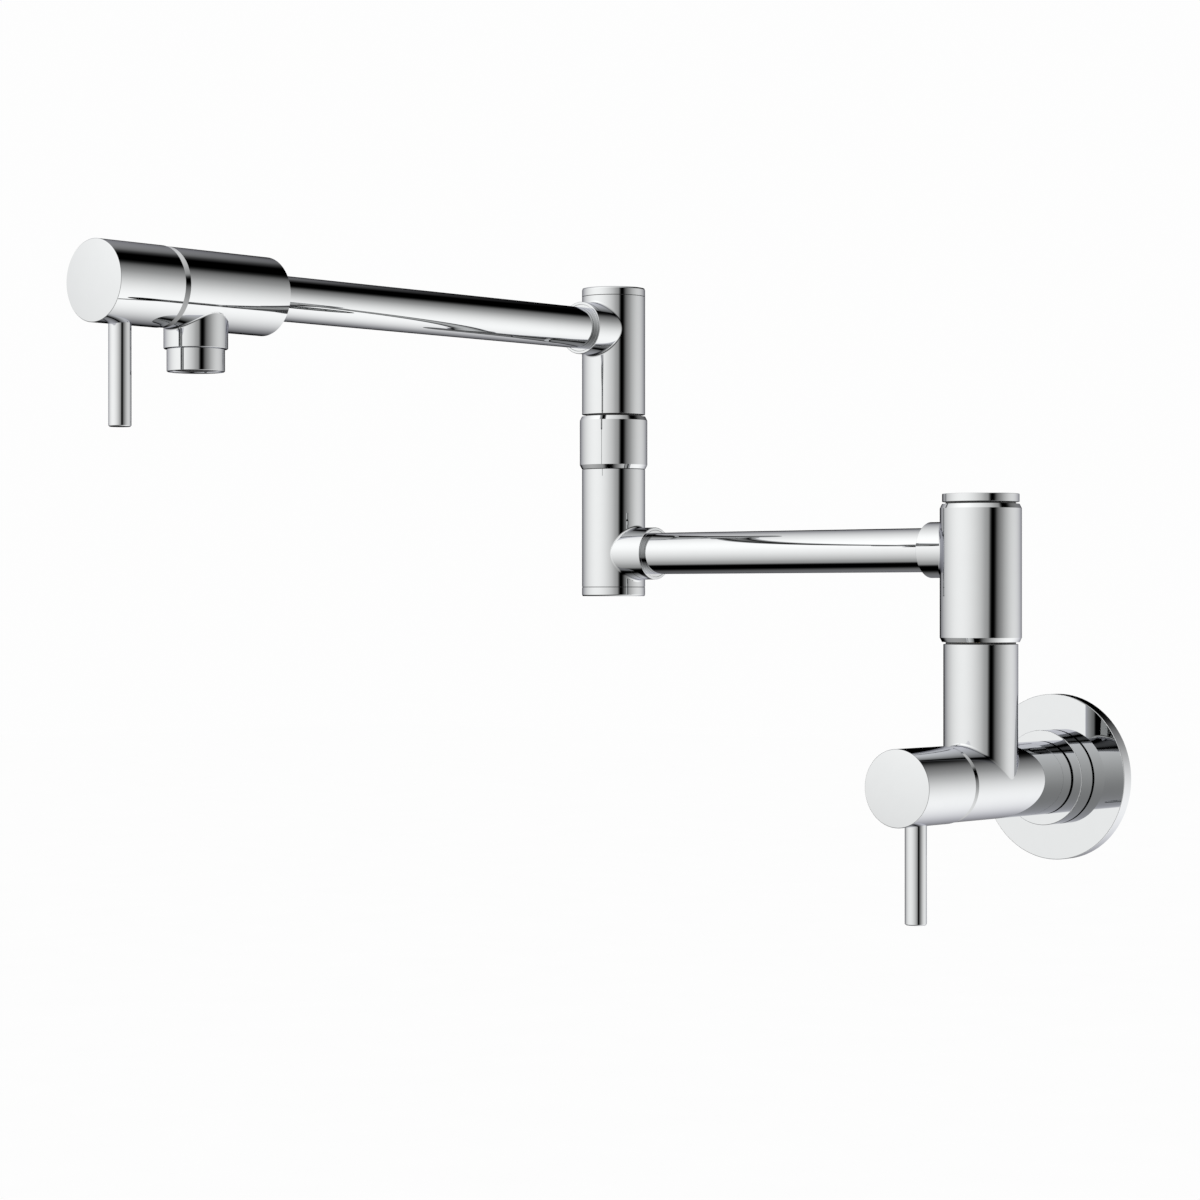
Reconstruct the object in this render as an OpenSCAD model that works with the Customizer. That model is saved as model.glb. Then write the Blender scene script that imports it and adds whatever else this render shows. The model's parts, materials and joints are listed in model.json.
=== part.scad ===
// Wall-mounted pot filler: a shut-off valve and column on the wall, two swinging
// arms joined by a tall swivel, and a second tap with the spout at the far end.
// The wall is the plane y = 0, the tap stands out towards -Y and +Z is up.
// The origin is the centre of the water inlet on the wall.

/* [Wall mount] */
// Diameter of the cover plate on the wall
flange_d = 73.9; // [66:0.1:90]
// Thickness of the cover plate
flange_t = 5.65; // [5:0.05:9]
// Diameter of the collar in front of the cover plate
collar_d = 42.2; // [38:0.1:50]
// Length of the collar
collar_len = 9.65; // [6:0.05:14]
// Outside diameter of the inlet pipe thread
inlet_d = 20.95; // [18:0.05:22]
// Length of the inlet that reaches into the wall
inlet_reach = 14; // [8:0.5:24]
// Distance from the wall to the axis of the column
column_off = 63; // [61:0.5:80]

/* [Valve body and column] */
// Diameter of the valve body
body_d = 32.5; // [31:0.1:37]
// Distance from the column axis to the front of the valve body
body_nose = 27.9; // [27:0.1:34]
// Height of the top of the column above the valve axis
column_h = 59.9; // [50:0.1:80]
// How much smaller the radius of the column is than that of the valve body
column_step = 0.1; // [0.05:0.05:1]

/* [Swivel sleeve] */
// Diameter of the sleeve that turns on the column
sleeve_d = 35.4; // [34.5:0.1:40]
// Length of the sleeve
sleeve_len = 59.8; // [54:0.1:80]
// Height of the lower arm above the bottom of the sleeve
arm1_up = 40.1; // [32:0.1:41]
// Diameter of the cap on top of the column
cap_d = 33.4; // [31:0.1:40]
// Thickness of the cap on top of the column
cap_t = 3.5; // [2.5:0.1:8]

/* [Arms] */
// Length of the lower arm, from the column axis to the middle joint axis
arm1_len = 209.2; // [120:0.1:300]
// Length of the upper arm, from the middle joint axis to the spout axis
arm2_len = 265.8; // [150:0.1:360]
// Outside diameter of the arm tubes
tube_d = 19.4; // [17:0.1:19.6]
// Wall of the arm tubes
tube_wall = 1.2; // [0.8:0.1:2]
// Outside diameter of the sockets that hold the tubes
socket_d = 24.5; // [24:0.1:27]
// Reach of the lower arm's sockets from the axis of their housing
socket1_reach = 26; // [25:0.1:32]
// Reach of the upper arm's socket from the axis of its housing
socket2_reach = 24.3; // [24:0.1:32]
// Depth that each tube goes into its socket
tube_grip = 9; // [7:0.5:9]

/* [Middle joint] */
// Diameter of the joint housings
joint_d = 30; // [29:0.1:34]
// Height of the upper arm above the lower arm
joint_rise = 106.1; // [102:0.1:130]
// Height of the bottom cap of the joint
joint_foot_t = 4.15; // [3:0.05:8]
// Height of the top cap of the joint
joint_cap_t = 3.75; // [3:0.05:8]
// Distance from the lower arm axis down to the seam of the bottom cap
foot_seam = 15.9; // [15.5:0.1:24]
// Distance from the upper arm axis up to the seam of the top cap
cap_seam = 16.3; // [15.5:0.1:24]
// Distance from the lower arm axis up to the cover ring
ring_up = 40; // [30:0.1:42]
// Length of the cover ring
ring_len = 25.3; // [20:0.1:30]
// Diameter of the cover ring
ring_d = 32.1; // [31:0.1:38]

/* [Tap head] */
// Diameter of the tap head
head_d = 33.3; // [31:0.1:38]
// Distance from the spout axis back to the end of the head
head_back = 38.4; // [36:0.1:50]
// Distance from the spout axis to the front of the head
head_nose = 20.1; // [20:0.1:24]
// Diameter of the spout
spout_d = 26.55; // [26:0.05:30]
// Distance from the head axis down to the end of the spout
spout_drop = 24.4; // [24:0.1:34]
// Diameter of the aerator housing
aerator_d = 24; // [22.5:0.1:26]
// Height of the aerator housing below the spout
aerator_h = 9.3; // [7:0.1:16]

/* [Handles] */
// Diameter of the handle on the valve body
hub_d = 33.2; // [31:0.1:38]
// Diameter of the handle on the tap head
head_hub_d = 33.7; // [31:0.1:38]
// Length of each handle
hub_len = 35; // [32:0.1:44]
// Distance from the front of a handle to the axis of its lever
lever_set = 14.4; // [11:0.1:16]
// Diameter of the levers
lever_d = 9.3; // [8.5:0.1:11]
// Distance from the handle axis to the tip of the lever
lever_reach = 58.1; // [40:0.1:80]

/* [Waterways] */
// Bore of the passages in the housings
water_d = 13; // [11:0.1:13.4]
// Diameter of the headwork thread in each valve chamber
headwork_d = 24; // [23:0.1:25]
// Diameter of the ceramic discs
disc_d = 17; // [16:0.1:17.4]
// Diameter of the headwork stem
stem_d = 10; // [9:0.1:10.6]

/* [Clearances] */
// Radial clearance of every turning fit
run_fit = 0.05; // [0.04:0.01:0.08]
// Radial clearance of every thread and slip fit within one body
slip_fit = 0.02; // [0.01:0.01:0.03]
// Axial clearance beside every part that turns
end_play = 0.1; // [0.05:0.01:0.15]
// Gap between each handle and the housing behind it
handle_gap = 0.25; // [0.2:0.05:0.6]
// Height of the swivel gaps that hold the thrust washers
swivel_gap = 0.9; // [0.7:0.05:1.5]

/* [Hidden] */
$fn = 96;

// Outer radii
flange_r = flange_d / 2;
collar_r = collar_d / 2;
inlet_r = inlet_d / 2;
body_r = body_d / 2;
column_r = body_r - column_step;
sleeve_r = sleeve_d / 2;
tube_r = tube_d / 2;
socket_r = socket_d / 2;
joint_r = joint_d / 2;
ring_r = ring_d / 2;
head_r = head_d / 2;
spout_r = spout_d / 2;
lever_r = lever_d / 2;
water_r = water_d / 2;

// Chamfers, each as [across, along]
tiny_edge = [0.15, 0.15];
fine_edge = [0.3, 0.3];
soft_edge = [0.5, 0.5];
cap_edge = [0.3, 0.8];
long_edge = [0.95, 1.9];
nose_cone = [1.3, 2.6];
thread_edge = [1, 1];
no_edge = [0, 0];

// Shadow lines between two parts, each as [depth, width]
body_seam = [3, 1];
collar_seam = [3, 0.9];
cap_seam_cut = [0.8, 0.3];
ring_seam = [0.6, 0.35];

// Wall side of the valve
gasket_w = 6;
gasket_t = 3.6;
flange_rim = 2.5;
plate_play = 0.3;
relief_start = 1;
relief_cut = 0.8;
inlet_hex = 12;
inlet_hex_depth = 9;
inlet_bore_r = inlet_hex / 2;
inlet_grip = 11;
inlet_washer_t = 1.5;
body_back = flange_t + collar_len;
body_front = column_off + body_nose;

// Headwork, measured back from the front of its housing
headwork_r = headwork_d / 2;
chamber_r = headwork_r + 0.6;
hex_flat = 19;
hex_top = 2;
hex_t = 4;
thread_end = 13.5;
nose_r = headwork_r - 1.4;
disc_r = disc_d / 2;
disc_t = 2.6;
seal_t = 2.2;
seal_w = 2.4;
seat_depth = 32;
cavity_top = 17;
window_w = 8;
window_h = 5.5;
port_r = 2.6;
port_off = disc_r - port_r - 1.2;
stem_r = stem_d / 2;
foot_r = stem_r + 1.2;
tongue_w = 4;
tongue_t = 1.2;
clip_t = 0.8;
clip_w = 2;
clip_bite = 0.6;
stem_ring_z = -9;
fixed_top = seal_t + disc_t - seat_depth;
moving_top = fixed_top + run_fit + disc_t;
foot_top = -cavity_top - end_play;

// Handle, measured forward from the front of its housing
skirt_wall = 3.4;
skirt_depth = 6;
lever_z = handle_gap + hub_len - lever_set;
spline_teeth = 20;
spline_tip_r = stem_r - 0.2;
spline_root_r = spline_tip_r - 0.6;
spline_start = handle_gap + skirt_depth - 2;
dome_r = 260;
spline_end = lever_z + 4;
lever_seat = 2;
stud_r = 3;
stud_len = 5.5;
grub_r = 2.5;
grub_key = 2.5;
grub_key_depth = 1.8;

// O-rings and their grooves
ring_section = 2;
groove_w = 2.4;

// Column and sleeve
post_r = 12.4;
post_grip = 15;
post_thread_r = 10;
post_bore_r = water_r - 0.2;
post_waist_r = 9.4;
post_port_r = 4;
waist_half = 8;
post_ring_up = waist_half + groove_w;
sleeve_bore_r = post_r + 2 * run_fit;
bush_wall = 1.5;
bush_r = post_r + run_fit + bush_wall;
bush_len = 7.5;
washer_r = post_r + 2.8;
plug_len = 8;
sleeve_z = column_h + swivel_gap;
sleeve_top = sleeve_z + sleeve_len;
cap_z = sleeve_top + swivel_gap;
arm1_z = sleeve_z + arm1_up;
arm2_z = arm1_z + joint_rise;
port_floor = water_r + 2.3;

// Tube sockets
tube_bore_r = tube_r - tube_wall;
lock_r = tube_r + 1.35;
lock_t = 3;
seal_back = 6;
seal_section = 1.6;
seal_groove_w = 1.9;
seal_r = tube_r + slip_fit + seal_section / 2;

// Middle joint
jpost_r = 10.4;
jpost_thread_r = 9;
jpost_bore_r = 6;
jpost_grip = 20;
jbore_r = jpost_r + 2 * run_fit;
jbush_wall = 1.75;
jbush_r = jpost_r + run_fit + jbush_wall;
jbush_len = 8;
spigot_r = joint_r - 1.4;
plug_r = 10;
boss_len = 6;
low_seam_z = arm1_z - foot_seam;
high_seam_z = arm2_z + cap_seam;
ring_z = arm1_z + ring_up;
ring_top = ring_z + ring_len;
upper_z = ring_top + swivel_gap;
jring_step = 4;
jring_z = upper_z + jbush_len + 3;
upper_bush_z = jring_z + jring_step + 2.8;
circlip_z = upper_bush_z + jbush_len + end_play;
circlip_t = 1.2;
circlip_w = 2.2;
circlip_bite = 0.8;
jpost_top = circlip_z + circlip_t + 1.2;

// Tap head and aerator
head_front = arm2_len + head_nose;
head_rear = arm2_len - head_back;
aerator_thread_r = 11;
aerator_grip = 7.5;
aerator_gasket_t = 1.5;
aerator_gap = 0.1;
aerator_rim = 0.9;
aerator_recess = 0.6;
aerator_lip = 1;
lip_w = 0.6;
aerator_wall = 1.4;
insert_r = aerator_thread_r - aerator_wall;
insert_wall = 1.2;
insert_plate = 1.6;
spout_end = arm2_z - spout_drop;
jet_r = 0.75;
jet_step = 2.5;
jet_rows = 3;

chrome = [0.86, 0.87, 0.88];
brass = [0.78, 0.62, 0.32];
ceramic = [0.93, 0.92, 0.88];
rubber = [0.08, 0.08, 0.09];
nylon = [0.92, 0.92, 0.9];
dark_plastic = [0.06, 0.06, 0.065];
steel = [0.6, 0.61, 0.63];

// Turned shapes

// Outer edge of a turned piece with a chamfer at each end
function rim(r, z0, z1, low, high) = concat(
  low.x > 0 ? [[r - low.x, z0], [r, z0 + low.y]] : [[r, z0]],
  high.x > 0 ? [[r, z1 - high.y], [r - high.x, z1]] : [[r, z1]]
);

module turned_ring(r_in, r_out, z0, z1, low = no_edge, high = no_edge) {
  rotate_extrude()
    polygon(concat([[r_in, z0]], rim(r_out, z0, z1, low, high), [[r_in, z1]]));
}

module rod(r, z0, z1, low = no_edge, high = no_edge) {
  turned_ring(0, r, z0, z1, low, high);
}

// Rod with a narrow step cut at its low or high end, which shows as a dark line
module low_stepped_rod(r, z0, z1, step, high = no_edge) {
  rod(r, z0 + step.y, z1, no_edge, high);
  rod(r - step.x, z0, z0 + step.y + 1);
}

module high_stepped_rod(r, z0, z1, step, low = no_edge) {
  rod(r, z0, z1 - step.y, low);
  rod(r - step.x, z1 - step.y - 1, z1);
}

// Rod whose far end is slightly domed inside a small chamfer
module domed_rod(r, z0, z1, low, high) {
  rim_z = z1 - dome_r + sqrt(dome_r * dome_r - r * r) - high.y;
  rotate_extrude()
    intersection() {
      polygon([[0, z0], [r - low.x, z0], [r, z0 + low.y], [r, rim_z], [0, rim_z + r]]);
      translate([0, z1 - dome_r])
        circle(r = dome_r, $fn = 720);
    }
}

module o_ring(r_mid, section, z) {
  translate([0, 0, z])
    rotate_extrude()
      translate([r_mid, 0])
        circle(d = section, $fn = 32);
}

// O-ring that stands just proud of a shaft, and the floor of its groove
function ring_mid(r) = r + slip_fit - ring_section / 2;
function ring_floor(r) = r + slip_fit - ring_section;

// Ring-shaped cut from r_floor outwards
module groove(r_floor, r_out, z, width) {
  turned_ring(r_floor, r_out, z - width / 2, z + width / 2);
}

// Ring with a slot through one side, sprung into a groove
module spring_clip(r_in, r_out, z, thick) {
  difference() {
    turned_ring(r_in, r_out, z, z + thick);
    translate([0, -(r_out - r_in) / 2, z - 1])
      cube([r_out + 1, r_out - r_in, thick + 2]);
  }
}

// Star-shaped outline of the splined stem
function spline_points(tip, root, teeth) = [
  for (i = [0 : 2 * teeth - 1])
    let (r = i % 2 == 0 ? tip : root, a = 180 * i / teeth)
      [r * cos(a), r * sin(a)]
];

// Places

// Straight out of the wall along the inlet axis
module from_wall() {
  rotate([90, 0, 0])
    children();
}

module at_column() {
  translate([0, -column_off, 0])
    children();
}

// From the column axis towards the middle joint
module along_lower_arm() {
  translate([0, -column_off, arm1_z])
    rotate([0, -90, 0])
      children();
}

// From the middle joint axis back towards the column
module back_along_lower_arm() {
  translate([-arm1_len, -column_off, arm1_z])
    rotate([0, 90, 0])
      children();
}

module at_joint() {
  translate([-arm1_len, -column_off, 0])
    children();
}

// From the middle joint axis towards the tap head
module along_upper_arm() {
  translate([-arm1_len, -column_off, arm2_z])
    rotate([90, 0, 0])
      children();
}

module at_spout() {
  translate([-arm1_len, -column_off - arm2_len, 0])
    children();
}

// Front of the valve body, +Z towards the handle
module at_valve_front() {
  from_wall()
    translate([0, 0, body_front])
      children();
}

// Front of the tap head, +Z towards the handle
module at_head_front() {
  along_upper_arm()
    translate([0, 0, head_front])
      children();
}

// Straight down from the handle axis at the lever
module at_lever() {
  translate([0, 0, lever_z])
    rotate([90, 0, 0])
      children();
}

// Tube sockets, each along the axis of its tube

// Bore of a socket whose mouth is at the given reach, with the waterway behind it
module socket_bore(reach, water_from = 0) {
  translate([0, 0, water_from])
    cylinder(r = water_r, h = reach - water_from);
  translate([0, 0, reach - tube_grip])
    cylinder(r = tube_r + slip_fit, h = tube_grip + 1);
  translate([0, 0, reach - lock_t])
    cylinder(r = lock_r, h = lock_t + 1);
  groove(0, seal_r + seal_section / 2 + slip_fit, reach - seal_back, seal_groove_w);
}

module lock_ring(reach) {
  turned_ring(tube_r + slip_fit, lock_r - slip_fit, reach - lock_t, reach, high = [0.2, 0.2]);
}

module socket_seal(reach) {
  o_ring(seal_r, seal_section, reach - seal_back);
}

module arm_tube(from, to) {
  difference() {
    rod(tube_r, from, to, fine_edge, fine_edge);
    translate([0, 0, from - 1])
      cylinder(r = tube_bore_r, h = to - from + 2);
  }
}

// Headwork, the same in the valve body and the tap head

// Chamber that takes the headwork, cut into a housing
module headwork_chamber() {
  translate([0, 0, -seat_depth])
    cylinder(r = chamber_r, h = seat_depth - thread_end);
  translate([0, 0, -thread_end - 1])
    cylinder(r = headwork_r + slip_fit, h = thread_end + 2);
}

module headwork_cartridge() {
  color(brass)
    difference() {
      union() {
        translate([0, 0, -hex_top - hex_t])
          cylinder(d = hex_flat / cos(30), h = hex_t, $fn = 6);
        rod(headwork_r, -thread_end, -hex_top - hex_t, fine_edge, soft_edge);
        rod(nose_r, -seat_depth, -thread_end);
      }
      translate([0, 0, -seat_depth - 1])
        cylinder(r = disc_r + run_fit, h = seat_depth - cavity_top + 1);
      translate([0, 0, -cavity_top - 1])
        cylinder(r = stem_r + run_fit, h = cavity_top + 2);
      translate([-window_w / 2, -headwork_r - 1, -cavity_top - window_h])
        cube([window_w, headwork_d + 2, window_h]);
    }
}

module seat_seal() {
  color(rubber)
    turned_ring(disc_r - seal_w, disc_r, -seat_depth, seal_t - seat_depth);
}

module disc_ports(z, angle) {
  rotate([0, 0, angle])
    for (side = [-1, 1])
      translate([side * port_off, 0, z])
        cylinder(r = port_r, h = disc_t + 2);
}

module fixed_disc() {
  color(ceramic)
    difference() {
      rod(disc_r, seal_t - seat_depth, fixed_top);
      disc_ports(seal_t - seat_depth - 1, 0);
    }
}

module moving_disc() {
  color(ceramic)
    difference() {
      rod(disc_r, moving_top - disc_t, moving_top, fine_edge, fine_edge);
      disc_ports(moving_top - disc_t - 1, 90);
      translate([-disc_r, -tongue_w / 2, moving_top - tongue_t])
        cube([disc_d, tongue_w, disc_t]);
    }
}

module headwork_spindle() {
  color(brass)
    difference() {
      union() {
        rod(foot_r, moving_top, foot_top);
        rod(stem_r, moving_top, spline_start, no_edge, fine_edge);
        intersection() {
          translate([-disc_r, slip_fit - tongue_w / 2, moving_top - tongue_t + slip_fit])
            cube([disc_d, tongue_w - 2 * slip_fit, 2 * tongue_t]);
          cylinder(r = foot_r, h = 4 * seat_depth, center = true);
        }
        translate([0, 0, spline_start - 1])
          linear_extrude(spline_end - spline_start + 1)
            polygon(spline_points(spline_tip_r, spline_root_r, spline_teeth));
      }
      groove(ring_floor(stem_r), stem_r + 1, stem_ring_z, groove_w);
      groove(stem_r - clip_bite, stem_r + 1, clip_t / 2 - hex_top + end_play, clip_t + slip_fit);
    }
}

module spindle_o_ring() {
  color(rubber)
    o_ring(ring_mid(stem_r), ring_section, stem_ring_z);
}

module spindle_clip() {
  color(steel)
    spring_clip(stem_r - clip_bite, stem_r + clip_w, end_play - hex_top, clip_t);
}

// Handles, the same but for their diameter

module handle_hub(d) {
  color(chrome)
    difference() {
      domed_rod(d / 2, handle_gap, handle_gap + hub_len, tiny_edge, fine_edge);
      translate([0, 0, handle_gap - 1])
        cylinder(r = d / 2 - skirt_wall, h = skirt_depth + 1);
      linear_extrude(spline_end + 0.5)
        polygon(spline_points(spline_tip_r + slip_fit, spline_root_r + slip_fit, spline_teeth));
      at_lever() {
        cylinder(r = grub_r + slip_fit, h = d / 2);
        translate([0, 0, d / 2 - lever_seat - stud_len])
          cylinder(r = stud_r + slip_fit, h = stud_len + 1);
        translate([0, 0, d / 2 - lever_seat])
          cylinder(r = lever_r + slip_fit, h = d);
      }
    }
}

module handle_lever(d) {
  color(chrome)
    at_lever() {
      rod(lever_r, d / 2 - lever_seat, lever_reach, fine_edge, soft_edge);
      rod(stud_r, d / 2 - lever_seat - stud_len + 0.2, d / 2 - lever_seat + 1, fine_edge);
    }
}

// Screw that clamps the handle to the stem, reached through the lever's hole
module handle_grub_screw(d) {
  grub_tip = spline_tip_r + slip_fit;
  grub_head = d / 2 - lever_seat - stud_len - 0.2;
  color(steel)
    at_lever()
      difference() {
        rod(grub_r, grub_tip, grub_head, fine_edge, fine_edge);
        translate([0, 0, grub_head - grub_key_depth])
          cylinder(d = grub_key / cos(30), h = grub_key_depth + 1, $fn = 6);
      }
}

// Wall side

module wall_flange() {
  color(chrome)
    from_wall()
      difference() {
        rod(flange_r, 0, flange_t, no_edge, fine_edge);
        translate([0, 0, -1])
          cylinder(r = inlet_r + plate_play, h = flange_t + 2);
        translate([0, 0, -1])
          cylinder(r = flange_r - flange_rim, h = gasket_t + 1);
      }
}

// Foam ring that seals the plate to the wall
module flange_gasket() {
  color(rubber)
    from_wall()
      turned_ring(flange_r - flange_rim - gasket_w, flange_r - flange_rim, 0, gasket_t);
}

module flange_collar() {
  color(chrome)
    from_wall()
      difference() {
        low_stepped_rod(collar_r, flange_t, body_back, collar_seam, fine_edge);
        translate([0, 0, flange_t - 1])
          cylinder(r = inlet_r + slip_fit, h = collar_len + 2);
      }
}

// Threaded pipe that joins the wall fitting to the valve body
module inlet_nipple() {
  color(brass)
    from_wall()
      difference() {
        rod(inlet_r, -inlet_reach, body_back + inlet_grip, thread_edge, soft_edge);
        translate([0, 0, -inlet_reach - 1])
          cylinder(r = inlet_bore_r, h = inlet_reach + body_back + inlet_grip + 2);
        translate([0, 0, -inlet_reach - 1])
          cylinder(d = inlet_hex / cos(30), h = inlet_hex_depth + 1, $fn = 6);
        turned_ring(inlet_r - relief_cut, inlet_r + 1, relief_start, flange_t);
      }
}

module inlet_washer() {
  color(rubber)
    from_wall()
      translate([0, 0, body_back + inlet_grip])
        turned_ring(water_r, inlet_r, 0, inlet_washer_t);
}

// Valve body with the column that rises from it
module valve_body() {
  color(chrome)
    difference() {
      union() {
        from_wall()
          low_stepped_rod(body_r, body_back, body_front, body_seam, nose_cone);
        at_column()
          rod(column_r, 0, column_h, no_edge, tiny_edge);
      }
      from_wall() {
        translate([0, 0, body_back - 1])
          cylinder(r = inlet_r + slip_fit, h = inlet_grip + inlet_washer_t + 1);
        translate([0, 0, body_back])
          cylinder(r = water_r, h = body_front - body_back - seat_depth + 1);
      }
      at_valve_front()
        headwork_chamber();
      at_column() {
        translate([0, 0, port_floor])
          cylinder(r = water_r, h = column_h - port_floor);
        translate([0, 0, column_h - post_grip])
          cylinder(r = post_thread_r + slip_fit, h = post_grip + 1);
      }
    }
}

// Column and the parts that hold the sleeve on it

// Hollow post screwed into the column, with cross holes that feed the lower arm
module column_post() {
  color(brass)
    at_column()
      difference() {
        union() {
          rod(post_thread_r, column_h - post_grip + 0.5, column_h + 1, soft_edge);
          rod(post_r, column_h, cap_z, no_edge, fine_edge);
        }
        translate([0, 0, column_h - post_grip - 1])
          cylinder(r = post_bore_r, h = cap_z - column_h + post_grip + 2);
        groove(post_waist_r, post_r + 1, arm1_z, 2 * waist_half);
        for (side = [-1, 1])
          groove(ring_floor(post_r), post_r + 1, arm1_z + side * post_ring_up, groove_w);
        translate([0, 0, arm1_z])
          for (turn = [0, 90])
            rotate([90, 0, turn])
              cylinder(r = post_port_r, h = 4 * post_r, center = true);
      }
}

module column_o_rings() {
  color(rubber)
    at_column()
      for (side = [-1, 1])
        o_ring(ring_mid(post_r), ring_section, arm1_z + side * post_ring_up);
}

module column_thrust_washers() {
  color(dark_plastic)
    at_column()
      for (z = [column_h, sleeve_top + end_play])
        turned_ring(post_r + run_fit, washer_r, z, z + swivel_gap - end_play);
}

module column_cap() {
  color(chrome)
    at_column() {
      rod(cap_d / 2, cap_z, cap_z + cap_t, tiny_edge, tiny_edge);
      rod(post_bore_r - slip_fit, cap_z - plug_len, cap_z + 1, soft_edge);
    }
}

// Lower arm

module swivel_sleeve() {
  color(chrome)
    difference() {
      union() {
        at_column()
          rod(sleeve_r, sleeve_z, sleeve_top, long_edge, long_edge);
        along_lower_arm()
          rod(socket_r, 0, socket1_reach, no_edge, fine_edge);
      }
      at_column() {
        translate([0, 0, sleeve_z - 1])
          cylinder(r = sleeve_bore_r, h = sleeve_len + 2);
        translate([0, 0, sleeve_z - 1])
          cylinder(r = bush_r, h = bush_len + 1);
        translate([0, 0, sleeve_top - bush_len])
          cylinder(r = bush_r, h = bush_len + 1);
      }
      along_lower_arm()
        socket_bore(socket1_reach);
    }
}

module column_bushes() {
  color(nylon)
    at_column()
      for (z = [sleeve_z, sleeve_top - bush_len])
        turned_ring(post_r + run_fit, bush_r, z, z + bush_len);
}

module lower_arm_tube() {
  color(chrome)
    along_lower_arm()
      arm_tube(socket1_reach - tube_grip, arm1_len - socket1_reach + tube_grip);
}

module lower_arm_lock_rings() {
  color(chrome) {
    along_lower_arm()
      lock_ring(socket1_reach);
    back_along_lower_arm()
      lock_ring(socket1_reach);
  }
}

module lower_arm_seals() {
  color(rubber) {
    along_lower_arm()
      socket_seal(socket1_reach);
    back_along_lower_arm()
      socket_seal(socket1_reach);
  }
}

// Lower half of the middle joint, with the spigot that carries the cover ring
module joint_lower_body() {
  color(chrome)
    difference() {
      union() {
        at_joint() {
          low_stepped_rod(joint_r, low_seam_z, ring_z, cap_seam_cut);
          rod(spigot_r, ring_z - 1, ring_top);
        }
        back_along_lower_arm()
          rod(socket_r, 0, socket1_reach, no_edge, fine_edge);
      }
      at_joint() {
        translate([0, 0, low_seam_z - 1])
          cylinder(r = plug_r + slip_fit, h = boss_len + 1.5);
        translate([0, 0, low_seam_z])
          cylinder(r = water_r, h = ring_top - low_seam_z);
        translate([0, 0, ring_top - jpost_grip])
          cylinder(r = jpost_thread_r + slip_fit, h = jpost_grip + 1);
      }
      back_along_lower_arm()
        socket_bore(socket1_reach);
    }
}

module joint_bottom_cap() {
  color(chrome)
    at_joint() {
      rod(joint_r, low_seam_z - joint_foot_t, low_seam_z, cap_edge);
      rod(plug_r, low_seam_z - 1, low_seam_z + boss_len, no_edge, soft_edge);
    }
}

module joint_cover_ring() {
  color(chrome)
    at_joint() {
      turned_ring(spigot_r + slip_fit, ring_r, ring_z + ring_seam.y, ring_top, long_edge, long_edge);
      turned_ring(spigot_r + slip_fit, joint_r - ring_seam.x, ring_z, ring_z + ring_seam.y + 1);
    }
}

// Hollow post screwed into the lower half, on which the upper half turns
module joint_post() {
  color(brass)
    at_joint()
      difference() {
        union() {
          rod(jpost_thread_r, ring_top - jpost_grip + 0.5, ring_top + 1, soft_edge);
          rod(jpost_r, ring_top, jpost_top, no_edge, fine_edge);
        }
        translate([0, 0, ring_top - jpost_grip - 1])
          cylinder(r = jpost_bore_r, h = jpost_top - ring_top + jpost_grip + 2);
        for (i = [0, 1])
          groove(ring_floor(jpost_r), jpost_r + 1, jring_z + i * jring_step, groove_w);
        groove(jpost_r - circlip_bite, jpost_r + 1, circlip_z + circlip_t / 2, circlip_t + slip_fit);
      }
}

module joint_o_rings() {
  color(rubber)
    at_joint()
      for (i = [0, 1])
        o_ring(ring_mid(jpost_r), ring_section, jring_z + i * jring_step);
}

module joint_thrust_washer() {
  color(dark_plastic)
    at_joint()
      turned_ring(jpost_r + run_fit, spigot_r - 0.6, ring_top, upper_z - end_play);
}

module joint_circlip() {
  color(steel)
    at_joint()
      spring_clip(jpost_r - circlip_bite, jpost_r - circlip_bite + circlip_w, circlip_z, circlip_t);
}

// Upper arm

module joint_upper_body() {
  color(chrome)
    difference() {
      union() {
        at_joint()
          high_stepped_rod(joint_r, upper_z, high_seam_z, cap_seam_cut, tiny_edge);
        along_upper_arm()
          rod(socket_r, 0, socket2_reach, no_edge, fine_edge);
      }
      at_joint() {
        translate([0, 0, upper_z - 1])
          cylinder(r = jbore_r, h = high_seam_z - upper_z);
        translate([0, 0, upper_z - 1])
          cylinder(r = jbush_r, h = jbush_len + 1);
        translate([0, 0, upper_bush_z])
          cylinder(r = jbush_r, h = high_seam_z - upper_bush_z + 1);
      }
      along_upper_arm()
        socket_bore(socket2_reach);
    }
}

module joint_bushes() {
  color(nylon)
    at_joint()
      for (z = [upper_z, upper_bush_z])
        turned_ring(jpost_r + run_fit, jbush_r, z, z + jbush_len);
}

module joint_top_cap() {
  color(chrome)
    at_joint() {
      rod(joint_r, high_seam_z, high_seam_z + joint_cap_t, no_edge, cap_edge);
      rod(jbush_r - slip_fit, high_seam_z - boss_len, high_seam_z + 1, soft_edge);
    }
}

module upper_arm_tube() {
  color(chrome)
    along_upper_arm()
      arm_tube(socket2_reach - tube_grip, head_rear + tube_grip);
}

// Places children at the head's own tube socket, which opens backwards
module at_head_socket() {
  along_upper_arm()
    translate([0, 0, arm2_len])
      rotate([180, 0, 0])
        children();
}

module upper_arm_lock_rings() {
  color(chrome) {
    along_upper_arm()
      lock_ring(socket2_reach);
    at_head_socket()
      lock_ring(head_back);
  }
}

module upper_arm_seals() {
  color(rubber) {
    along_upper_arm()
      socket_seal(socket2_reach);
    at_head_socket()
      socket_seal(head_back);
  }
}

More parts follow.
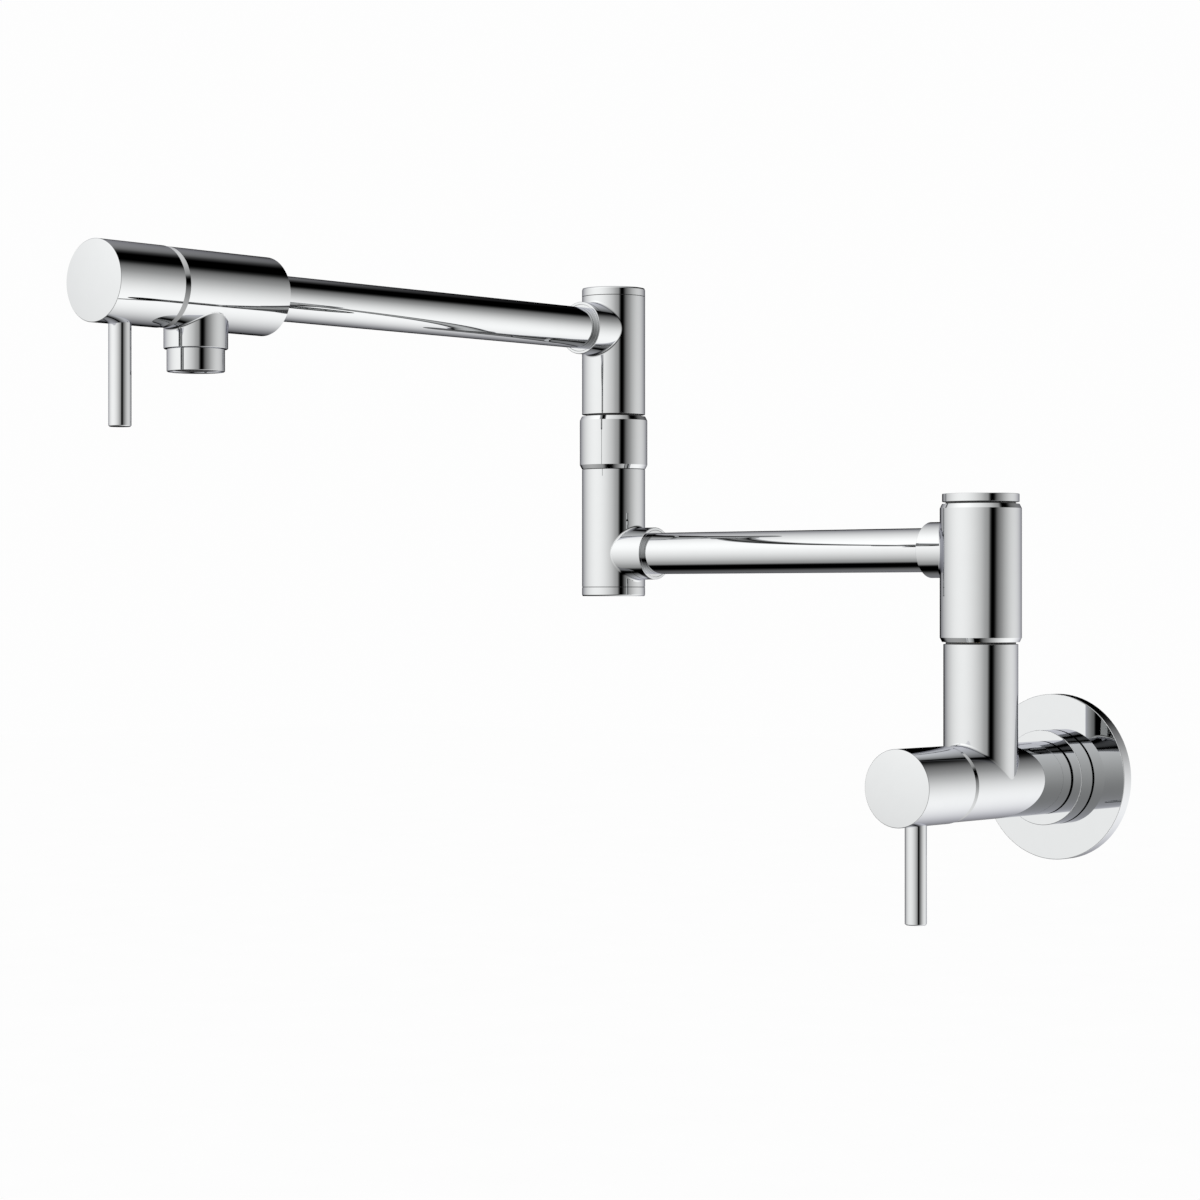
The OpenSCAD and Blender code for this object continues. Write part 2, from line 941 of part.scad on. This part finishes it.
// Tap head with its spout
module head_body() {
  color(chrome)
    difference() {
      union() {
        along_upper_arm()
          rod(head_r, head_rear, head_front, fine_edge, nose_cone);
        at_spout()
          rod(spout_r, spout_end, arm2_z, fine_edge);
      }
      at_head_front()
        headwork_chamber();
      at_head_socket()
        socket_bore(head_back, seat_depth - head_nose - 1);
      at_spout() {
        translate([0, 0, spout_end])
          cylinder(r = water_r - 0.1, h = spout_drop - port_floor);
        translate([0, 0, spout_end - 1])
          cylinder(r = aerator_thread_r + slip_fit, h = aerator_grip + aerator_gasket_t + 1);
      }
    }
}

// Threaded shell that holds the aerator in the spout
module aerator_housing() {
  shell_top = spout_end + aerator_grip;
  shell_end = spout_end - aerator_gap - aerator_h;
  color(chrome)
    at_spout()
      difference() {
        union() {
          rod(aerator_d / 2, shell_end, spout_end - aerator_gap, fine_edge, tiny_edge);
          rod(aerator_thread_r, spout_end - 1, shell_top, no_edge, fine_edge);
        }
        translate([0, 0, shell_end + aerator_recess + aerator_lip])
          cylinder(r = insert_r + slip_fit, h = shell_top - shell_end);
        translate([0, 0, shell_end - 1])
          cylinder(r = insert_r - lip_w, h = aerator_h);
        translate([0, 0, shell_end - 1])
          cylinder(r = aerator_d / 2 - aerator_rim, h = aerator_recess + 1);
      }
}

// Cup with rings of jets through its floor, which fills the mouth of the shell
module aerator_insert() {
  face_z = spout_end - aerator_gap - aerator_h + aerator_recess;
  floor_z = face_z + aerator_lip;
  color(dark_plastic)
    at_spout()
      difference() {
        union() {
          rod(insert_r, floor_z, spout_end + aerator_grip);
          rod(insert_r - lip_w - slip_fit, face_z, floor_z + 1);
        }
        translate([0, 0, floor_z + insert_plate])
          cylinder(r = insert_r - insert_wall, h = 4 * aerator_h);
        translate([0, 0, face_z - 1]) {
          cylinder(r = jet_r, h = aerator_lip + insert_plate + 2);
          for (row = [1 : jet_rows], i = [0 : 6 * row - 1])
            rotate([0, 0, 60 * i / row])
              translate([row * jet_step, 0, 0])
                cylinder(r = jet_r, h = aerator_lip + insert_plate + 2);
        }
      }
}

module aerator_gasket() {
  gasket_z = spout_end + aerator_grip;
  color(rubber)
    at_spout()
      turned_ring(water_r, aerator_thread_r, gasket_z, gasket_z + aerator_gasket_t);
}

wall_flange();
flange_gasket();
flange_collar();
inlet_nipple();
inlet_washer();
valve_body();
at_valve_front() headwork_cartridge();  // valve_cartridge
at_valve_front() fixed_disc();  // valve_fixed_disc
at_valve_front() seat_seal();  // valve_seat_seal
column_post();
column_o_rings();
column_thrust_washers();
column_cap();
at_valve_front() headwork_spindle();  // valve_spindle
at_valve_front() spindle_o_ring();  // valve_spindle_o_ring
at_valve_front() spindle_clip();  // valve_spindle_clip
at_valve_front() moving_disc();  // valve_moving_disc
at_valve_front() handle_hub(hub_d);  // valve_handle
at_valve_front() handle_lever(hub_d);  // valve_lever
at_valve_front() handle_grub_screw(hub_d);  // valve_grub_screw
swivel_sleeve();
column_bushes();
lower_arm_tube();
lower_arm_lock_rings();
lower_arm_seals();
joint_lower_body();
joint_bottom_cap();
joint_cover_ring();
joint_post();
joint_o_rings();
joint_thrust_washer();
joint_circlip();
joint_upper_body();
joint_bushes();
joint_top_cap();
upper_arm_tube();
upper_arm_lock_rings();
upper_arm_seals();
head_body();
at_head_front() headwork_cartridge();  // head_cartridge
at_head_front() fixed_disc();  // head_fixed_disc
at_head_front() seat_seal();  // head_seat_seal
aerator_housing();
aerator_insert();
aerator_gasket();
at_head_front() headwork_spindle();  // head_spindle
at_head_front() spindle_o_ring();  // head_spindle_o_ring
at_head_front() spindle_clip();  // head_spindle_clip
at_head_front() moving_disc();  // head_moving_disc
at_head_front() handle_hub(head_hub_d);  // head_handle
at_head_front() handle_lever(head_hub_d);  // head_lever
at_head_front() handle_grub_screw(head_hub_d);  // head_grub_screw
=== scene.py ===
"""Looks of a wall-mounted pot filler: polished chrome in a soft two-sided studio."""
import json
import math

import bmesh
import bpy
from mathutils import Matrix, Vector

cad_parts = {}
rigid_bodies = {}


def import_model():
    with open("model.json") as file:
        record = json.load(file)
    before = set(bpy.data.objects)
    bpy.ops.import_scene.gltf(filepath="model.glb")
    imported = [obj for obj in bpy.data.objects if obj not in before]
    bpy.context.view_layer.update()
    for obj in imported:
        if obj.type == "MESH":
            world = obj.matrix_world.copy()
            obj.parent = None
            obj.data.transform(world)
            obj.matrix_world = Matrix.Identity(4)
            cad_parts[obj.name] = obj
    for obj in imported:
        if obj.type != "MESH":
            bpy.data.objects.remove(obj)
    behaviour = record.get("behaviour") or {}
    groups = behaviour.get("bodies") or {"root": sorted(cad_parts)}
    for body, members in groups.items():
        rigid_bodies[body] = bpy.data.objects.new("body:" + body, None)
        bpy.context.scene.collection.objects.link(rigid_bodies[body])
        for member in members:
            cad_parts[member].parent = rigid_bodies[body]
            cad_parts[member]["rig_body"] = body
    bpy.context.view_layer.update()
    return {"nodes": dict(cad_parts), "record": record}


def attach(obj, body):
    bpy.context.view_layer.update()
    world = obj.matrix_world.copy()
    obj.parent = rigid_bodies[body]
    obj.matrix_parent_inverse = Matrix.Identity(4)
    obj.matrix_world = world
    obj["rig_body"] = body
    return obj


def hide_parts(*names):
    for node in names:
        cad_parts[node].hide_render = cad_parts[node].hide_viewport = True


for leftover in list(bpy.data.objects):
    bpy.data.objects.remove(leftover)

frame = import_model()
scene = bpy.context.scene
nodes = frame["nodes"]

MM = 0.001
CHROME_RIM = (0.72, 0.72, 0.782, 1.0)

# Axes of the turned surfaces, each as (point on it, direction)
X, Y, Z = Vector((1, 0, 0)), Vector((0, 1, 0)), Vector((0, 0, 1))
INLET = (Vector((0, 0, 0)), Y)
COLUMN = (Vector((0, -0.063, 0)), Z)
LOWER_ARM = (Vector((0, -0.063, 0.1009)), X)
JOINT = (Vector((-0.2092, -0.063, 0)), Z)
UPPER_ARM = (Vector((-0.2092, 0, 0.207)), Y)
SPOUT = (Vector((-0.2092, -0.3288, 0)), Z)
VALVE_LEVER = (Vector((0, -0.11175, 0)), Z)
HEAD_LEVER = (Vector((-0.2092, -0.36975, 0)), Z)

# Outside radii
BODY_R = 16.25 * MM
COLUMN_R = 16.15 * MM
SLEEVE_R = 17.7 * MM
SOCKET_R = 12.25 * MM
JOINT_R = 15 * MM
HEAD_R = 16.65 * MM
SPOUT_R = 13.275 * MM
DOME_R = 260 * MM


# ---------------------------------------------------------------- materials

def new_material(name):
    mat = bpy.data.materials.new(name)
    mat.use_nodes = True
    return mat


def link(mat, a, b):
    mat.node_tree.links.new(a, b)


def add(mat, kind, **inputs):
    node = mat.node_tree.nodes.new(kind)
    for key, value in inputs.items():
        node.inputs[key.replace("_", " ")].default_value = value
    return node


def shader_of(mat):
    return mat.node_tree.nodes["Principled BSDF"]


def speckle(mat, scale, detail=4.0, roughness=0.6):
    """Noise over the piece's own coordinates, which are in metres."""
    coords = add(mat, "ShaderNodeTexCoord")
    noise = add(mat, "ShaderNodeTexNoise", Scale=scale, Detail=detail, Roughness=roughness)
    link(mat, coords.outputs["Object"], noise.inputs["Vector"])
    return noise


def spread(mat, source, low, high, start=0.3, end=0.7):
    """Maps a noise onto a range of values."""
    ramp = add(mat, "ShaderNodeMapRange", From_Min=start, From_Max=end, To_Min=low, To_Max=high)
    link(mat, source, ramp.inputs["Value"])
    return ramp.outputs["Result"]


def tint(mat, source, dark, light):
    mix = mat.node_tree.nodes.new("ShaderNodeMix")
    mix.data_type = "RGBA"
    mix.inputs["A"].default_value = (*dark, 1.0)
    mix.inputs["B"].default_value = (*light, 1.0)
    link(mat, source, mix.inputs["Factor"])
    link(mat, mix.outputs["Result"], shader_of(mat).inputs["Base Color"])


def relief(mat, height, strength, distance):
    bump = add(mat, "ShaderNodeBump", Strength=strength, Distance=distance)
    link(mat, height, bump.inputs["Height"])
    link(mat, bump.outputs["Normal"], shader_of(mat).inputs["Normal"])


def polished_chrome(name, light, dark, shine, haze):
    mat = new_material(name)
    body = shader_of(mat)
    body.inputs["Metallic"].default_value = 1.0
    body.inputs["Specular Tint"].default_value = CHROME_RIM
    plating = speckle(mat, 180.0)
    tint(mat, spread(mat, plating.outputs["Fac"], 0.0, 1.0), dark, light)
    wipe = speckle(mat, 26.0, detail=6.0)
    link(mat, spread(mat, wipe.outputs["Fac"], shine, haze), body.inputs["Roughness"])
    return mat


def machined_brass():
    mat = new_material("machined_brass")
    body = shader_of(mat)
    body.inputs["Metallic"].default_value = 1.0
    stain = speckle(mat, 90.0)
    tint(mat, spread(mat, stain.outputs["Fac"], 0.0, 1.0), (0.62, 0.43, 0.16), (0.80, 0.60, 0.28))
    cut = speckle(mat, 900.0, detail=2.0)
    link(mat, spread(mat, cut.outputs["Fac"], 0.22, 0.36), body.inputs["Roughness"])
    relief(mat, cut.outputs["Fac"], 0.15, 0.00005)
    return mat


def plain_steel():
    mat = new_material("plain_steel")
    body = shader_of(mat)
    body.inputs["Metallic"].default_value = 1.0
    grain = speckle(mat, 700.0, detail=3.0)
    tint(mat, spread(mat, grain.outputs["Fac"], 0.0, 1.0), (0.42, 0.43, 0.45), (0.60, 0.61, 0.63))
    link(mat, spread(mat, grain.outputs["Fac"], 0.25, 0.4), body.inputs["Roughness"])
    return mat


def soft_solid(name, dark, light, rough_low, rough_high, scale, bump):
    """Rubber, plastic or ceramic: a faint change of shade, a grain and a fine relief."""
    mat = new_material(name)
    grain = speckle(mat, scale)
    tint(mat, spread(mat, grain.outputs["Fac"], 0.0, 1.0), dark, light)
    roughness = spread(mat, grain.outputs["Fac"], rough_low, rough_high)
    link(mat, roughness, shader_of(mat).inputs["Roughness"])
    relief(mat, grain.outputs["Fac"], bump, 0.0001)
    return mat


CHROME_LIGHT = (0.507, 0.515, 0.516)
CHROME_DARK = (0.501, 0.509, 0.510)
FINISHES = {
    "chrome": polished_chrome("polished_chrome", CHROME_LIGHT, CHROME_DARK, 0.006, 0.014),
    "tube_chrome": polished_chrome("polished_tube", CHROME_LIGHT, CHROME_DARK, 0.006, 0.014),
    "brass": machined_brass(),
    "steel": plain_steel(),
    "ceramic": soft_solid(
        "lapped_ceramic", (0.86, 0.85, 0.80), (0.92, 0.91, 0.87), 0.12, 0.2, 500.0, 0.05),
    "rubber": soft_solid(
        "black_rubber", (0.018, 0.018, 0.020), (0.035, 0.035, 0.038), 0.55, 0.75, 1200.0, 0.35),
    "nylon": soft_solid(
        "bearing_plastic", (0.82, 0.82, 0.79), (0.90, 0.90, 0.88), 0.35, 0.5, 600.0, 0.15),
    "dark_plastic": soft_solid(
        "dark_plastic", (0.020, 0.020, 0.021), (0.030, 0.030, 0.031), 0.4, 0.55, 700.0, 0.1),
}

slots = {part["node"]: part["material_slot"] for part in frame["record"]["subparts"]}
for name, node in nodes.items():
    finish = FINISHES[slots[name]]
    for material_slot in node.material_slots:
        material_slot.material = finish


# ------------------------------------------------------------- plated pieces

NEAR = 0.003 * MM         # two lengths are the same within this
SMALL_EDGE = 0.9 * MM     # chamfers narrower than this are shaded as rounded
FLAT_BAND = 1.0           # width given to a face that isn't a chamfer
ON_LINE = 0.995           # least cosine between a face and the turned surface that it is part of
SLANTED = 0.2             # a chamfer leans at least this far from both directions
SAME_SIDE = 0.2           # least cosine between a chamfer and the face that lends it its shading


def new_piece(name, bm, node, slot, replaced=()):
    """Makes an object of a finished bmesh; it rides with a node and may stand for nodes."""
    mesh = bpy.data.meshes.new(name)
    bm.to_mesh(mesh)
    bm.free()
    for face in mesh.polygons:
        face.use_smooth = True
    mesh.materials.append(FINISHES[slot])
    piece = bpy.data.objects.new(name, mesh)
    scene.collection.objects.link(piece)
    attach(piece, nodes[node]["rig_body"])
    if replaced:
        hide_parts(*replaced)
    return piece


def turned_normals(face, lines, domes):
    """Exact normals at a face's corners, and the width of its band if it is a chamfer."""
    for centre, radius in domes:
        if all(abs((v.co - centre).length - radius) < NEAR for v in face.verts):
            return [(v.co - centre) / radius for v in face.verts], FLAT_BAND
    for point, axis in lines:
        places, arms = [], []
        for v in face.verts:
            along = (v.co - point).dot(axis)
            arm = v.co - point - axis * along
            places.append(Vector((along, arm.length)))
            arms.append(arm.normalized())
        pairs = [(b - a) for a in places for b in places]
        slope = max(pairs, key=lambda pair: pair.length)
        width = slope.length
        if width < NEAR:
            continue
        slope = slope / width
        if any(abs((place - places[0]).cross(slope)) > NEAR for place in places):
            continue
        across = Vector((slope.y, -slope.x))
        normals = [axis * across.x + arm * across.y for arm in arms]
        middle = sum(normals, Vector()).normalized()
        if middle.dot(face.normal) < 0:
            normals = [-n for n in normals]
            middle = -middle
        if middle.dot(face.normal) > ON_LINE:
            band = width if min(abs(slope.x), abs(slope.y)) > SLANTED else FLAT_BAND
            return normals, band
    return [face.normal.copy() for _ in face.verts], FLAT_BAND


def plated(node, lines, domes=()):
    """A merged copy of a CAD piece with the exact normals of its turned surfaces, and small
    chamfers shaded as rounded edges."""
    bm = bmesh.new()
    bm.from_mesh(nodes[node].data)
    bmesh.ops.remove_doubles(bm, verts=bm.verts, dist=0.5 * NEAR)
    bm.normal_update()
    found = {face: turned_normals(face, lines, domes) for face in bm.faces}
    corners = []
    for face in bm.faces:
        normals, width = found[face]
        for v, normal in zip(face.verts, normals):
            if width < SMALL_EDGE:
                for other in v.link_faces:
                    beside, other_width = found[other]
                    near = beside[list(other.verts).index(v)]
                    if other_width >= SMALL_EDGE and near.dot(normal) > SAME_SIDE:
                        normal = near
                        break
            corners.append(normal)
    piece = new_piece(node + "_plated", bm, node, slots[node], (node,))
    piece.data.normals_split_custom_set(corners)


VALVE_DOME = (Vector((0, 0.13385, 0)), DOME_R)
HEAD_DOME = (Vector((-0.2092, -0.12415, 0.207)), DOME_R)
PLATED = {
    "wall_flange": (INLET,), "flange_collar": (INLET,), "valve_body": (INLET, COLUMN),
    "column_cap": (COLUMN,), "swivel_sleeve": (COLUMN, LOWER_ARM), "lower_arm_tube": (LOWER_ARM,),
    "lower_arm_lock_rings": (LOWER_ARM,), "joint_lower_body": (JOINT, LOWER_ARM),
    "joint_bottom_cap": (JOINT,), "joint_cover_ring": (JOINT,),
    "joint_upper_body": (JOINT, UPPER_ARM), "joint_top_cap": (JOINT,),
    "upper_arm_tube": (UPPER_ARM,), "upper_arm_lock_rings": (UPPER_ARM,),
    "head_body": (UPPER_ARM, SPOUT), "aerator_housing": (SPOUT,), "valve_lever": (VALVE_LEVER,),
    "head_lever": (HEAD_LEVER,),
}
for name, lines in PLATED.items():
    plated(name, lines)
plated("valve_handle", (INLET, VALVE_LEVER), (VALVE_DOME,))
plated("head_handle", (UPPER_ARM, HEAD_LEVER), (HEAD_DOME,))


# Fillets where one housing runs into another, as a small ball rolled along both would leave

AROUND = 192          # steps round a ring
ACROSS = 10           # steps across a fillet
UNDER = 0.3 * MM      # how far its hidden edge lies under the plating
BALL_R = 1.3 * MM
SPOUT_BALL_R = 1.0 * MM


def fillet(name, node, centre, run, branch, run_r, branch_r, ball_r):
    """Closed ring of a fillet; run is the axis of the housing, and branch points along the
    piece that stands on it."""
    side = run.cross(branch)
    rings = [[] for _ in range(ACROSS + 2)]
    facing = [[] for _ in range(ACROSS + 2)]
    for k in range(AROUND):
        turn = math.tau * k / AROUND
        out = run * math.cos(turn) + side * math.sin(turn)
        ball_off = (branch_r + ball_r) * math.sin(turn)
        height = math.sqrt((run_r + ball_r) ** 2 - ball_off ** 2)
        ball = centre + out * (branch_r + ball_r) + branch * height
        from_run = (side * ball_off + branch * height) / (run_r + ball_r)
        for i in range(ACROSS + 1):
            towards = (-out).slerp(-from_run, i / ACROSS)
            rings[i].append(ball + towards * ball_r)
            facing[i].append(-towards)
        deep_r = branch_r - UNDER
        deep_height = math.sqrt((run_r - UNDER) ** 2 - (deep_r * math.sin(turn)) ** 2)
        rings[-1].append(centre + out * deep_r + branch * deep_height)
        facing[-1].append(-out)
    bm = bmesh.new()
    loops = []
    for ring in rings:
        made = bmesh.ops.create_circle(bm, segments=AROUND, radius=1.0)["verts"]
        for v, place in zip(made, ring):
            v.co = place
        loops.append([bm.edges.get((made[k], made[k - 1])) for k in range(AROUND)])
    for a, b in zip(loops, loops[1:] + loops[:1]):
        bmesh.ops.bridge_loops(bm, edges=a + b)
    bmesh.ops.recalc_face_normals(bm, faces=bm.faces)
    bm.verts.index_update()
    hidden = ACROSS + 1
    corners = []
    for face in bm.faces:
        places = [divmod(v.index, AROUND) for v in face.verts]
        buried = any(row == hidden for row, _ in places)
        for row, column in places:
            corners.append(face.normal.copy() if buried else facing[row][column])
    piece = new_piece(name, bm, node, "chrome")
    piece.data.normals_split_custom_set(corners)


joint_low = Vector((JOINT[0].x, JOINT[0].y, LOWER_ARM[0].z))
joint_high = Vector((JOINT[0].x, JOINT[0].y, UPPER_ARM[0].z))
spout_top = Vector((SPOUT[0].x, SPOUT[0].y, UPPER_ARM[0].z))
fillet("column_fillet", "valve_body", COLUMN[0], Y, Z, BODY_R, COLUMN_R, BALL_R)
fillet("sleeve_fillet", "swivel_sleeve", LOWER_ARM[0], Z, -X, SLEEVE_R, SOCKET_R, BALL_R)
fillet("joint_lower_fillet", "joint_lower_body", joint_low, Z, X, JOINT_R, SOCKET_R, BALL_R)
fillet("joint_upper_fillet", "joint_upper_body", joint_high, Z, -Y, JOINT_R, SOCKET_R, BALL_R)
fillet("spout_fillet", "head_body", spout_top, Y, -Z, HEAD_R, SPOUT_R, SPOUT_BALL_R)


# Black rubber seals that fill the seams of the joint, a little below the plating; partly painted
# shade: they darken the seams, where shade falls in the gaps

SEAL_BACK = 0.9 * MM      # depths of a seal's two sides below the plating
SEAL_FRONT = 0.2 * MM


def shade_seal(name, node, axis, low, high):
    """Closed ring of rectangular section, in a seam of the joint from low to high; a black seal
    that also paints the shade in the seam.
    """
    inner, outer = JOINT_R - SEAL_BACK, JOINT_R - SEAL_FRONT
    bm = bmesh.new()
    corners = bmesh.ops.create_circle(bm, segments=4, radius=1.0)["verts"]
    places = ((inner, low), (outer, low), (outer, high), (inner, high))
    for v, (reach, along) in zip(corners, places):
        v.co = axis[0] + X * reach + Z * along
    bmesh.ops.spin(bm, geom=bm.verts[:] + bm.edges[:], cent=axis[0], axis=axis[1], angle=math.tau,
                   steps=AROUND, use_merge=True)
    bmesh.ops.recalc_face_normals(bm, faces=bm.faces)
    new_piece(name, bm, node, "rubber")


shade_seal("joint_foot_shade_seal", "joint_lower_body", JOINT, 85.0 * MM, 85.3 * MM)
shade_seal("joint_top_shade_seal", "joint_upper_body", JOINT, 223.0 * MM, 223.3 * MM)
shade_seal("joint_ring_shade_seal", "joint_cover_ring", JOINT, 140.9 * MM, 141.25 * MM)


# Pipe thread on the inlet: the wall side cut down to the root, with a ridge wound around it

THREAD_R = 10.475 * MM
ROOT_R = 9.32 * MM
PITCH = 1.814 * MM
THREAD_START, THREAD_END = 13.4 * MM, -0.2 * MM
TURN_STEPS = 72
CREST = 0.16 * MM         # half width of the ridge at its crest
RIDGE = 0.86 * MM         # half width of the ridge at its root
RIDGE_MIDDLE = 0.95 * MM  # from an end of the thread to the middle of the ridge there
SUNK = 0.1 * MM           # how far the ridge's foot lies in the core
CORE_START = -1.1 * MM    # the core is cut down from here to the wall end
CORE_LEAST_R = 9 * MM     # the bore inside this is left alone
END_CHAMFER_AT = 13.5 * MM
END_CHAMFER = 0.6 * MM
RUN_OUT = 0.25            # share of a turn over which the ridge sinks at each end


def inlet_core():
    """The inlet pipe with its wall side cut down to the root of the thread."""
    bm = bmesh.new()
    bm.from_mesh(nodes["inlet_nipple"].data)
    bmesh.ops.remove_doubles(bm, verts=bm.verts, dist=0.5 * NEAR)
    for v in bm.verts:
        reach = math.hypot(v.co.x, v.co.z)
        if v.co.y > CORE_START and reach > CORE_LEAST_R:
            shrunk = (ROOT_R if v.co.y < END_CHAMFER_AT else ROOT_R - END_CHAMFER) / reach
            v.co.x *= shrunk
            v.co.z *= shrunk
    bmesh.ops.dissolve_degenerate(bm, dist=NEAR, edges=bm.edges)
    bmesh.ops.recalc_face_normals(bm, faces=bm.faces)
    piece = new_piece("inlet_core", bm, "inlet_nipple", "brass", ("inlet_nipple",))
    piece.data.set_sharp_from_angle(angle=math.radians(30))


def inlet_thread():
    """The ridge of the thread, wound on the core and sunk into it at both ends."""
    turns = (THREAD_START - THREAD_END) / PITCH - 1
    steps = round(turns * TURN_STEPS)
    foot = ROOT_R - SUNK
    places = ((foot, -RIDGE), (THREAD_R, -CREST), (THREAD_R, CREST), (foot, RIDGE))
    bm = bmesh.new()
    profile = bmesh.ops.create_circle(bm, cap_ends=True, segments=4, radius=1.0)["verts"]
    for v, (reach, along) in zip(profile, places):
        v.co = (reach, THREAD_START - (RIDGE_MIDDLE + along), 0)
    bmesh.ops.spin(bm, geom=bm.faces[:], cent=(0, 0, 0), axis=(0, 1, 0), angle=math.tau * turns,
                   steps=steps, dvec=(0, -PITCH * turns / steps, 0))
    for v in bm.verts:
        reach = math.hypot(v.co.x, v.co.z)
        from_end = min(THREAD_START - v.co.y, v.co.y - THREAD_END) - RIDGE_MIDDLE
        wound = from_end / PITCH
        if reach > ROOT_R and wound < RUN_OUT:
            height = max(0.0, wound) / RUN_OUT
            shrunk = (ROOT_R - 0.5 * SUNK + (THREAD_R - ROOT_R) * height) / reach
            v.co.x *= min(1.0, shrunk)
            v.co.z *= min(1.0, shrunk)
    bmesh.ops.recalc_face_normals(bm, faces=bm.faces)
    piece = new_piece("inlet_thread", bm, "inlet_nipple", "brass")
    piece.data.set_sharp_from_angle(angle=math.radians(30))


inlet_core()
inlet_thread()


# ------------------------------------------------------------------- studio

def world_math(tree, operation, first, second):
    node = tree.nodes.new("ShaderNodeMath")
    node.operation = operation
    tree.links.new(first, node.inputs[0])
    node.inputs[1].default_value = second
    return node.outputs[0]


def soft_dome(tree, direction, azimuth, elevation, stops, level, slant):
    """Brightness of a large round light, by how near a direction is to its middle, times a
    gentle slope across it: level + slant . direction."""
    az, el = math.radians(azimuth), math.radians(elevation)
    towards = (math.sin(az) * math.cos(el), -math.cos(az) * math.cos(el), math.sin(el))
    dot = tree.nodes.new("ShaderNodeVectorMath")
    dot.operation = "DOT_PRODUCT"
    tree.links.new(direction, dot.inputs[0])
    dot.inputs[1].default_value = towards
    ramp = tree.nodes.new("ShaderNodeValToRGB")
    ramp.color_ramp.interpolation = "LINEAR"
    elements = ramp.color_ramp.elements
    while len(elements) > 1:
        elements.remove(elements[-1])
    for k, (place, light) in enumerate(stops):
        stop = elements[0] if k == 0 else elements.new((place + 1) / 2)
        stop.position = (place + 1) / 2
        stop.color = (light, light, light, 1.0)
    shifted = world_math(tree, "MULTIPLY_ADD", dot.outputs["Value"], 0.5)
    shifted.node.inputs[2].default_value = 0.5
    tree.links.new(shifted, ramp.inputs["Fac"])
    slope = tree.nodes.new("ShaderNodeVectorMath")
    slope.operation = "DOT_PRODUCT"
    tree.links.new(direction, slope.inputs[0])
    slope.inputs[1].default_value = slant
    sloped = tree.nodes.new("ShaderNodeVectorMath")
    sloped.operation = "SCALE"
    tree.links.new(ramp.outputs["Color"], sloped.inputs[0])
    tree.links.new(world_math(tree, "ADD", slope.outputs["Value"], level), sloped.inputs["Scale"])
    return sloped.outputs["Vector"]


# Reflections see the two soft lights; the camera and the diffuse light see an even pale room
BACKGROUND = 0.986
world = bpy.data.worlds.new("studio")
scene.world = world
world.use_nodes = True
tree = world.node_tree
tree.nodes.clear()
coords = tree.nodes.new("ShaderNodeTexCoord")
left = soft_dome(tree, coords.outputs["Generated"], 330, 36, (
    (-0.07, 0.0), (-0.05, 0.007), (-0.03, 0.03), (-0.01, 0.072), (0.01, 0.14), (0.03, 0.28),
    (0.05, 0.40), (0.09, 0.575), (0.21, 0.715), (0.35, 0.97), (0.85, 1.70), (1.0, 2.04)),
    0.883, (0.004, -0.135, 0.051))
right = soft_dome(tree, coords.outputs["Generated"], 144, -35, (
    (0.22, 0.0), (0.26, 0.013), (0.28, 0.028), (0.30, 0.055), (0.36, 0.20), (0.40, 0.288),
    (0.55, 0.56), (0.70, 0.945), (1.0, 1.87)),
    0.94, (0.041, 0.05, 0.012))
both = tree.nodes.new("ShaderNodeMix")
both.data_type = "RGBA"
both.blend_type = "ADD"
both.inputs["Factor"].default_value = 1.0
tree.links.new(left, both.inputs["A"])
tree.links.new(right, both.inputs["B"])
reflected = tree.nodes.new("ShaderNodeBackground")
tree.links.new(both.outputs["Result"], reflected.inputs["Color"])
around = tree.nodes.new("ShaderNodeBackground")
around.inputs["Color"].default_value = (BACKGROUND, BACKGROUND, BACKGROUND, 1.0)
path = tree.nodes.new("ShaderNodeLightPath")
choose = tree.nodes.new("ShaderNodeMixShader")
tree.links.new(path.outputs["Is Glossy Ray"], choose.inputs["Fac"])
tree.links.new(around.outputs["Background"], choose.inputs[1])
tree.links.new(reflected.outputs["Background"], choose.inputs[2])
output = tree.nodes.new("ShaderNodeOutputWorld")
tree.links.new(choose.outputs["Shader"], output.inputs["Surface"])
world.cycles.sampling_method = "NONE"

scene.view_settings.view_transform = "Standard"
scene.view_settings.look = "None"

# Floor, so far below the tap that its shadow stays out of the picture, and that the tap can
# be seen from below
FLOOR_AT = -1.6
FLOOR_HALF = 30.0
floor_mesh = bpy.data.meshes.new("floor")
floor = bpy.data.objects.new("floor", floor_mesh)
scene.collection.objects.link(floor)
bm = bmesh.new()
bmesh.ops.create_grid(bm, x_segments=1, y_segments=1, size=FLOOR_HALF)
bmesh.ops.translate(bm, verts=bm.verts, vec=(0, 0, FLOOR_AT))
bm.to_mesh(floor_mesh)
bm.free()
floor_mat = new_material("pale_floor")
pale = shader_of(floor_mat)
floor_grain = speckle(floor_mat, 3.0)
floor_shade = spread(floor_mat, floor_grain.outputs["Fac"], 0.0, 1.0)
tint(floor_mat, floor_shade, (0.994, 0.994, 0.994), (1.0, 1.0, 1.0))
pale.inputs["Roughness"].default_value = 1.0
pale.inputs["Specular IOR Level"].default_value = 0.0
floor_mesh.materials.append(floor_mat)
floor.visible_glossy = False

# ------------------------------------------------------------------- camera

CAMERA_AT = Vector((0.7792, -1.2211, 0.0790))
CAMERA_TURN = 40.723
CAMERA_LENS = 95.95
camera_data = bpy.data.cameras.new("camera")
camera_data.lens = CAMERA_LENS
camera_data.sensor_width = 36.0
camera_data.sensor_fit = "HORIZONTAL"
camera_data.clip_start = 0.05
camera_data.clip_end = 100.0
camera = bpy.data.objects.new("camera", camera_data)
camera.location = CAMERA_AT
camera.rotation_euler = (math.radians(90), 0, math.radians(CAMERA_TURN))
scene.collection.objects.link(camera)
scene.camera = camera
